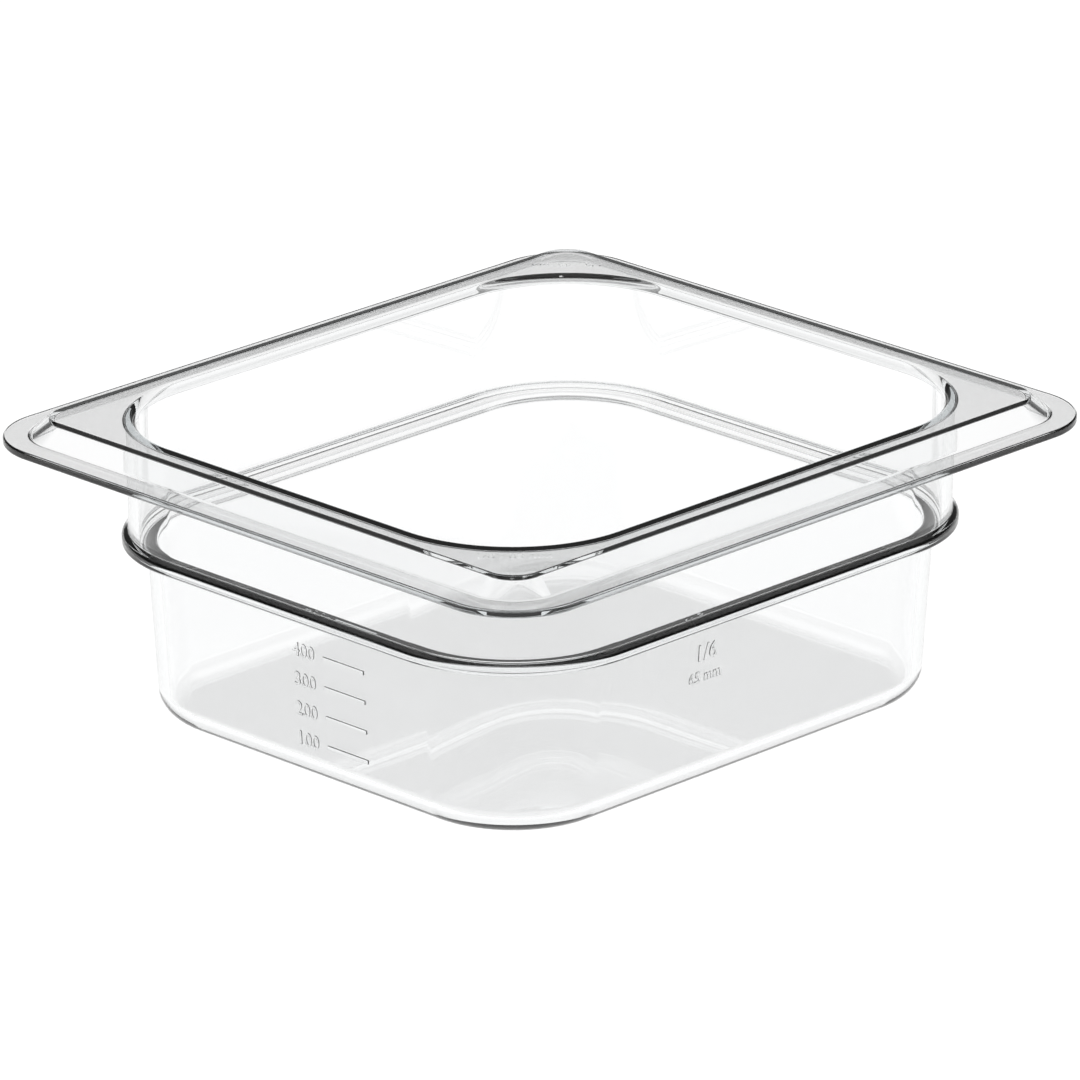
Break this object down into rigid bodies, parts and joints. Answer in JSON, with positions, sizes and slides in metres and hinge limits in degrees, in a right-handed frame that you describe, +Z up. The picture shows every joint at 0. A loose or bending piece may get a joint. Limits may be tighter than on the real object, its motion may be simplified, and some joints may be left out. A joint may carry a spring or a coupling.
{
  "type": "food pan",
  "caption": "Clear rectangular food pan with rounded corners, a flat rim with a stepped brim, a stacking shoulder part-way down its walls and an open top.",
  "frame": {"origin": "centre of the underside of the floor", "axes": "+Z up through the open top, +Y along the longer side of the rim, +X along the shorter side"},
  "size_m": [0.1588, 0.1762, 0.065],
  "materials": {
    "clear_plastic": "clear, polished moulding"
  },
  "bodies": {
    "root": {"pan": "clear_plastic"}
  },
  "joints": []
}
